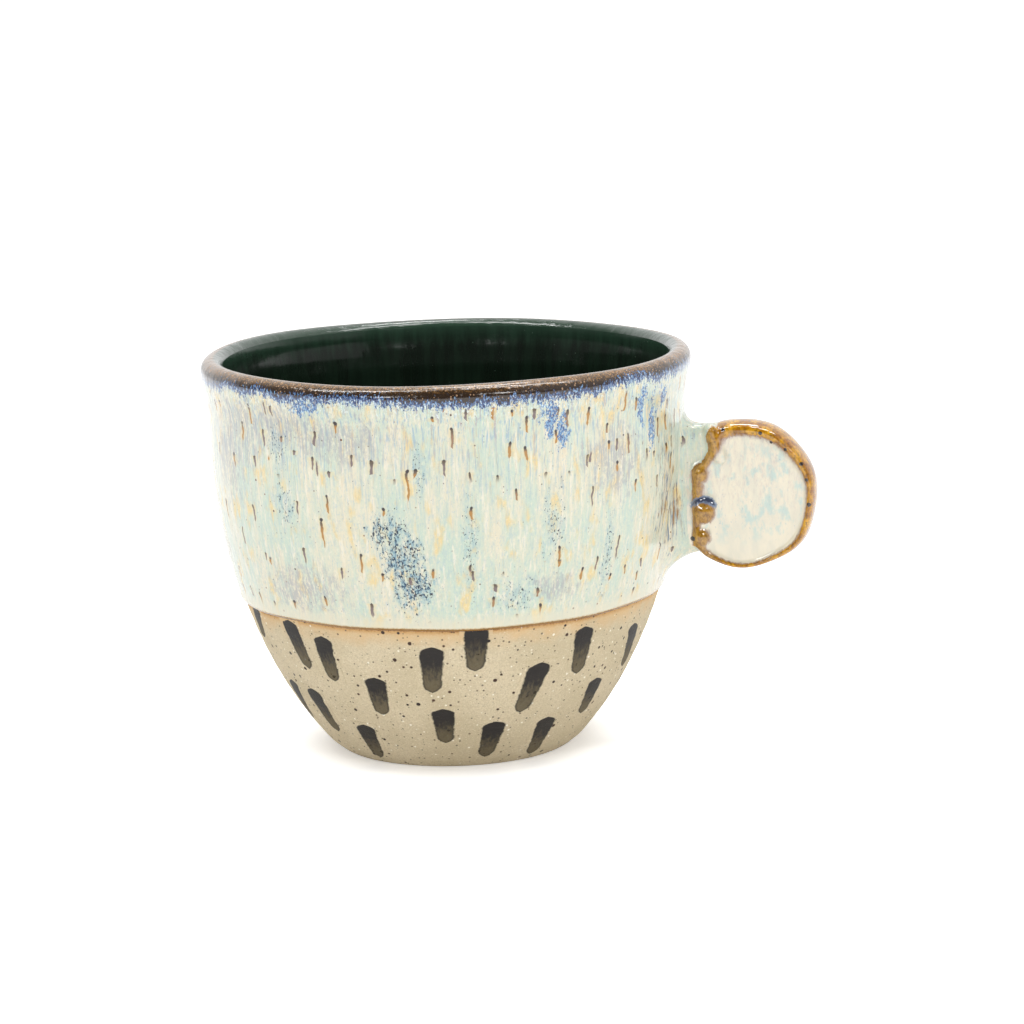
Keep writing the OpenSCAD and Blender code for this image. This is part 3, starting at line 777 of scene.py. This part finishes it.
# A navy arc over the middle lump, and iron dots along the raised edge.
bx, bz, size = pinches[1]
arc = np.abs(np.hypot(x - bx, (z - bz) * 0.9) - size - 0.1)
navy = soft_step(arc, 1.0, 0.0) * soft_step(z, bz + 0.3, bz + 2.2) * (y < 0)
dots = np.zeros(len(points))
for degrees, share, size in ((141, 1.0, 0.5), (128, 0.75, 0.42), (104, 0.35, 0.4),
                             (72, 0.75, 0.42), (46, 1.05, 0.38), (28, 0.3, 0.42),
                             (14, 0.5, 0.38), (-7, 0.35, 0.45), (160, 2.0, 0.5),
                             (172, 2.2, 0.5), (196, 0.9, 0.6), (222, 1.0, 0.5), (60, 1.6, 0.34)):
    turned = math.radians(degrees)
    from_middle = disc_r - 1.1 * share - 0.9
    far = np.hypot(x - disc_x - from_middle * math.cos(turned), z - disc_z - from_middle * math.sin(turned))
    spot = soft_step(far, size + 0.25, size - 0.25)
    dots = np.maximum(dots, spot * ((y < 0) | (size > 0.4)))
middle = points[faces].mean(1)
face_deep = inset(middle[:, 0], middle[:, 2])
face_bead = bead_width(middle[:, 0], middle[:, 2])
keep = off_wall(*middle.T) > -0.1
on_disc = (face_deep > -0.4) & (middle[:, 0] > 49.6) & ~(
    (np.abs(middle[:, 1]) < 3.6) & (face_deep < 0.5) & (middle[:, 0] < 56.0))
pooled = on_disc & (face_deep > face_bead * 1.9)
groups = [("neck_glaze_coat", "neck_glaze", "wall_glaze", neck_glaze, keep & ~on_disc),
          ("disc_edge_glaze_coat", "disc_edge_glaze", "amber_glaze", amber_glaze, on_disc & ~pooled),
          ("disc_front_glaze_coat", "disc_front_glaze", "disc_glaze", pool_glaze,
           pooled & (middle[:, 1] < 0)),
          ("disc_back_glaze_coat", "disc_back_glaze", "disc_glaze", pool_glaze,
           pooled & (middle[:, 1] >= 0))]
for name, node, finish, material, chosen in groups:
    piece = solid(name, points, faces[chosen], material,
                  {"amber": amber, "bowl side": near, "navy": navy, "iron dot": dots,
                   "above edge": np.full(len(points), 9.0)})
    thickness = piece.modifiers.new("coat", "SOLIDIFY")
    thickness.thickness, thickness.offset = 0.0004, -1
    bpy.context.view_layer.update()
    mesh = bpy.data.meshes.new_from_object(piece.evaluated_get(bpy.context.evaluated_depsgraph_get()))
    mesh.set_sharp_from_angle(angle=math.radians(60))
    piece.modifiers.clear()
    piece.data = mesh
    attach(piece, "root")
    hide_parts(node)


# ---- Brush marks ----
# Short strokes of iron oxide are brushed on the bare clay in loose rows. The brush lands full and
# black, then drags to a thin brown tail. The painter goes round twice with the same rhythm.
def stroke_tree(material):
    """Thin slabs stood round the bowl, then pressed on to it along level lines."""
    tree = bpy.data.node_groups.new("brushed strokes", "GeometryNodeTree")
    tree.interface.new_socket("Geometry", in_out="INPUT", socket_type="NodeSocketGeometry")
    tree.interface.new_socket("Bowl", in_out="INPUT", socket_type="NodeSocketObject")
    tree.interface.new_socket("Thickness", in_out="INPUT", socket_type="NodeSocketFloat")
    tree.interface.new_socket("Geometry", in_out="OUTPUT", socket_type="NodeSocketGeometry")
    source, sink = tree.nodes.new("NodeGroupInput"), tree.nodes.new("NodeGroupOutput")

    add = bench(tree)[0]

    def named(word, kind):
        return add("GeometryNodeInputNamedAttribute", {"Name": word}, data_type=kind)

    slab = add("GeometryNodeMeshCube", {"Size": (1, 1, 1), "Vertices X": 15, "Vertices Y": 2,
                                        "Vertices Z": 27})
    where = add("GeometryNodeInputPosition")
    parts = add("ShaderNodeSeparateXYZ", {0: where}).node
    for word, socket in (("across", parts.outputs[0]), ("lift", parts.outputs[1]),
                         ("along", parts.outputs[2])):
        slab = add("GeometryNodeStoreNamedAttribute", {"Geometry": slab, "Name": word, "Value": socket},
                   data_type="FLOAT", domain="POINT")
    turned = add("FunctionNodeEulerToRotation", {0: named("turn", "FLOAT_VECTOR")})
    laid = add("GeometryNodeInstanceOnPoints", {"Points": source.outputs[0], "Instance": slab,
                                                "Rotation": turned, "Scale": named("size", "FLOAT_VECTOR")})
    laid = add("GeometryNodeRealizeInstances", {0: laid})
    lean = add("ShaderNodeMath", {0: named("shift", "FLOAT"), 1: named("along", "FLOAT")},
               operation="MULTIPLY")
    side = add("ShaderNodeVectorMath", {0: named("aside", "FLOAT_VECTOR"), "Scale": lean}, operation="SCALE")
    slid = add("ShaderNodeVectorMath", {0: where, 1: side}, operation="ADD")
    inward = add("ShaderNodeVectorMath", {0: slid, 1: (-1, -1, 0)}, operation="MULTIPLY")
    wall = add("GeometryNodeObjectInfo", {"Object": source.outputs["Bowl"]}, out=4,
               transform_space="RELATIVE")
    hit = add("GeometryNodeRaycast", {"Target Geometry": wall, "Source Position": slid,
                                      "Ray Direction": inward, "Ray Length": 1.0}).node
    raised = add("ShaderNodeMath", {0: named("lift", "FLOAT"), 1: 0.2}, operation="ADD")
    raised = add("ShaderNodeMath", {0: raised, 1: source.outputs["Thickness"]}, operation="MULTIPLY")
    raised = add("ShaderNodeVectorMath", {0: hit.outputs["Hit Normal"], "Scale": raised}, operation="SCALE")
    target = add("ShaderNodeVectorMath", {0: hit.outputs["Hit Position"], 1: raised}, operation="ADD")
    laid = add("GeometryNodeSetPosition", {"Geometry": laid, "Position": target,
                                           "Selection": hit.outputs["Is Hit"]})
    laid = add("GeometryNodeSetShadeSmooth", {"Geometry": laid, "Shade Smooth": True})
    laid = add("GeometryNodeSetMaterial", {"Geometry": laid, "Material": material})
    tree.links.new(laid, sink.inputs[0])
    return tree


oxide = bpy.data.materials.new("brushed iron oxide")
oxide.use_nodes = True
tree = oxide.node_tree
tree.nodes.clear()
add, calc, times, fade, blend, wash, stretch, cloud = bench(tree)
spot = stretch(add("ShaderNodeTexCoord", out=3), 1000, 1000, 1000)
under = tree.nodes.new("ShaderNodeGroup")
under.node_tree = clay
tree.links.new(spot, under.inputs["Place"])
across = add("ShaderNodeAttribute", out=2, attribute_name="across")
along = add("ShaderNodeAttribute", out=2, attribute_name="along")
v = calc("ADD", along, 0.5)
bristle = cloud(stretch(spot, 1.6, 1.6, 0.25), 3, 0.65)
rough_edge = calc("MULTIPLY_ADD", cloud(spot, 3, 0.6, scale=0.9), 0.15, -0.075)
half = fade(v, 0.15, 0.85, 0.34, 0.41)


def rounded(past_end):
    """How wide a stroke still is as it rounds off towards an end."""
    return calc("SQRT", calc("MAXIMUM", calc("SUBTRACT", 1.0, calc("POWER", past_end, 2.0)), 0.0))


head_end = rounded(fade(v, 0.80, 0.955))
tail_end = rounded(fade(v, 0.22, 0.02))
half = times(half, times(head_end, tail_end))
inside = calc("SUBTRACT", calc("ADD", half, rough_edge), calc("ABSOLUTE", across))
inside = times(inside, calc("GREATER_THAN", half, 0.02))
cover = fade(inside, 0.0, 0.07)
load = calc("ADD", times(v, 1.0), calc("MULTIPLY_ADD", bristle, 0.7, -0.35))
load = calc("MAXIMUM", fade(load, 0.16, 0.66), times(fade(inside, 0.16, 0.04), 0.75))
wash = blend(0.84, under.outputs["Colour"], shade(64, 54, 28))
paint = blend(load, wash, shade(40, 36, 34))
colour = blend(cover, under.outputs["Colour"], paint)
shader = tree.nodes.new("ShaderNodeBsdfPrincipled")
shader.inputs["Specular IOR Level"].default_value = 0.35
tree.links.new(colour, shader.inputs["Base Color"])
tree.links.new(fade(times(cover, load), 0, 1, 0.72, 0.5), shader.inputs["Roughness"])
relief = add("ShaderNodeBump", {"Height": under.outputs["Height"], "Strength": 1.0, "Distance": 0.00012})
tree.links.new(relief, shader.inputs["Normal"])
tree.links.new(shader.outputs[0], tree.nodes.new("ShaderNodeOutputMaterial").inputs[0])

# Each stroke, in degrees and millimetres: angle from the handle, height of its head, its length,
# how far its tail swings aside, and its width. The slabs start clear of the bowl, so they are
# spread to come out at their true width once pressed on to it.
stand_off = 60
strokes = [(-148, 32.6, 7.0, -1.8, 4.4), (-127.3, 32.4, 10.6, 1.0, 4.6), (-116.8, 30.1, 10.2, -0.2, 4.5),
           (-84.6, 29.1, 10.4, -0.4, 4.9), (-72.2, 33.2, 9.8, 0.0, 5.0), (-39.3, 30.5, 10.6, 0.7, 4.7),
           (-13.6, 27.8, 10.2, 2.6, 4.4), (-102.7, 21.9, 8.8, -0.3, 4.6), (-54.4, 24.1, 11.2, -1.9, 5.0),
           (-26.9, 17.6, 8.2, 0.5, 4.4), (-130.7, 17.0, 10.2, 0.1, 4.4), (-145.8, 17.4, 9.6, -2.7, 4.2),
           (-113.8, 10.2, 8.4, -0.6, 4.4), (-82.3, 15.0, 8.4, 0.0, 4.6), (-65.4, 11.4, 8.8, -0.8, 4.6),
           (-43.9, 10.8, 9.2, 0.1, 4.4), (14, 20.8, 8.6, 0.8, 4.5), (2, 15.2, 8.2, -0.4, 4.5)]
spots = bpy.data.meshes.new("stroke_spots")
rows = []
for half_turn in (0, 180):
    for angle, head, long, aside, wide in strokes:
        spread = stand_off / float(np.interp(rise_to(head - long / 2), even, outline[:, 0]))
        rows.append((math.radians(angle + half_turn), head, long, aside * spread, wide * spread))
spots.from_pydata([(stand_off * 0.001 * math.cos(a), stand_off * 0.001 * math.sin(a),
                    (head - long / 2) * 0.001) for a, head, long, _, _ in rows], [], [])
for word, kind, values in (
        ("turn", "FLOAT_VECTOR", [(0, 0, a - math.pi / 2) for a, *_ in rows]),
        ("aside", "FLOAT_VECTOR", [(-math.sin(a), math.cos(a), 0) for a, *_ in rows]),
        ("size", "FLOAT_VECTOR", [(wide * 0.0013, 0.001, long * 0.00108) for _, _, long, _, wide in rows]),
        ("shift", "FLOAT", [-aside * 0.001 * 1.5 for _, _, _, aside, _ in rows])):
    layer = spots.attributes.new(word, kind, "POINT")
    layer.data.foreach_set("vector" if kind == "FLOAT_VECTOR" else "value",
                           np.array(values, float).ravel())
marks = bpy.data.objects.new("brush_marks_oxide", spots)
bpy.context.collection.objects.link(marks)
maker = marks.modifiers.new("strokes", "NODES")
maker.node_group = stroke_tree(oxide)
for item in maker.node_group.interface.items_tree:
    if item.in_out == "INPUT" and item.name == "Bowl":
        maker[item.identifier] = bowl
    if item.in_out == "INPUT" and item.name == "Thickness":
        maker[item.identifier] = 0.00008
bpy.context.view_layer.update()
mesh = bpy.data.meshes.new_from_object(marks.evaluated_get(bpy.context.evaluated_depsgraph_get()))
mesh.set_sharp_from_angle(angle=math.radians(40))
marks.modifiers.clear()
marks.data = mesh
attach(marks, "root")
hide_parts("brush_marks")


# ---- Table and light ----
# The mug stands on a seamless white table in an even white surround. A broad soft box stands on
# each side, a narrow strip hangs over each side of the lip, two small lamps stand high in front,
# and one strip hangs behind. The table glows too: weakly by the foot and more further out, which
# lights the bowl from below as a hidden lamp would. To the eye it glows more, so that it stays
# white, but less right round the foot, which paints a soft contact shadow there.
mesh = bpy.data.meshes.new("table")
mesh.from_pydata([(-6, -6, 0), (6, -6, 0), (6, 6, 0), (-6, 6, 0)], [], [(0, 1, 2, 3)])
table = bpy.data.objects.new("table", mesh)
bpy.context.collection.objects.link(table)
paper = bpy.data.materials.new("white paper")
paper.use_nodes = True
add, calc, times, fade, blend, wash, stretch, cloud = bench(paper.node_tree)
shader = paper.node_tree.nodes["Principled BSDF"]
shader.inputs["Roughness"].default_value = 0.9
shader.inputs["Specular IOR Level"].default_value = 0.1
fibre = cloud(add("ShaderNodeTexCoord", out=3), 2, scale=30)
tint = blend(fade(fibre, 0.3, 0.7), (0.93, 0.93, 0.93, 1), (0.95, 0.95, 0.95, 1))
paper.node_tree.links.new(tint, shader.inputs["Base Color"])
away = add("ShaderNodeVectorMath", {0: add("ShaderNodeTexCoord", out=3)}, out=1, operation="LENGTH")
# The table's own glow, weak by the foot and stronger far off, lights the bowl from below like a hidden lamp.
glow_and_painted_shadow = fade(away, 0.03, 0.7, 0.06, 0.5)
seen = paper.node_tree.nodes.new("ShaderNodeLightPath").outputs["Is Camera Ray"]
# To the eye the glow drops right round the foot: this is a painted contact shadow.
glow_and_painted_shadow = calc("MAXIMUM", glow_and_painted_shadow, times(seen, fade(away, 0.025, 0.036, 0.32, 0.62)))
paper.node_tree.links.new(add("ShaderNodeCombineColor", {0: glow_and_painted_shadow, 1: glow_and_painted_shadow, 2: glow_and_painted_shadow}),
                          shader.inputs["Emission Color"])
shader.inputs["Emission Strength"].default_value = 1.0
mesh.materials.append(paper)

world = bpy.data.worlds.new("surround")
bpy.context.scene.world = world
world.use_nodes = True
sky = world.node_tree
air = sky.nodes["Background"]
air.inputs[1].default_value = 0.47
dim = sky.nodes.new("ShaderNodeBackground")
add, calc, times, fade, blend, wash, stretch, cloud = bench(sky)
facing_back = add("ShaderNodeSeparateXYZ", {0: add("ShaderNodeTexCoord")}, out=1)
sky.links.new(fade(facing_back, -0.1, 0.5, 0.1, 1.3), dim.inputs[1])
seen = sky.nodes.new("ShaderNodeBackground")
seen.inputs[0].default_value = (1, 1, 1, 1)
either = sky.nodes.new("ShaderNodeMixShader")
path = sky.nodes.new("ShaderNodeLightPath")
air.inputs[0].default_value = (1, 1, 1, 1)
mirrored = sky.nodes.new("ShaderNodeMixShader")
sky.links.new(path.outputs["Is Glossy Ray"], mirrored.inputs[0])
sky.links.new(air.outputs[0], mirrored.inputs[1])
sky.links.new(dim.outputs[0], mirrored.inputs[2])
sky.links.new(path.outputs["Is Camera Ray"], either.inputs[0])
sky.links.new(mirrored.outputs[0], either.inputs[1])
sky.links.new(seen.outputs[0], either.inputs[2])
sky.links.new(either.outputs[0], sky.nodes["World Output"].inputs[0])


def soft_box(name, place, wide, tall, watts):
    lamp = bpy.data.lights.new(name, "AREA")
    lamp.shape, lamp.size, lamp.size_y, lamp.energy = "RECTANGLE", wide, tall, watts
    box = bpy.data.objects.new(name, lamp)
    bpy.context.collection.objects.link(box)
    box.location = place
    aim = Vector((0, 0, 0.04)) - Vector(place)
    box.rotation_euler = aim.to_track_quat("-Z", "Y").to_euler()


soft_box("left_box", (-0.9, -0.35, 0.65), 0.9, 1.1, 0.45)
soft_box("right_box", (0.95, -0.2, 0.6), 0.8, 1.0, 1.2)
soft_box("left_strip", (-0.38, -0.13, 1.0), 0.07, 0.6, 3.0)
soft_box("right_strip", (0.33, 0.02, 1.0), 0.07, 0.6, 3.0)
soft_box("front_left_lamp", (-0.36, -1.18, 0.62), 0.15, 0.2, 1.7)
soft_box("front_right_lamp", (0.76, -0.96, 0.62), 0.15, 0.2, 1.7)
soft_box("top_strip", (0.0, 0.47, 1.12), 0.34, 0.12, 2.2)
bpy.context.scene.view_settings.view_transform = "Standard"
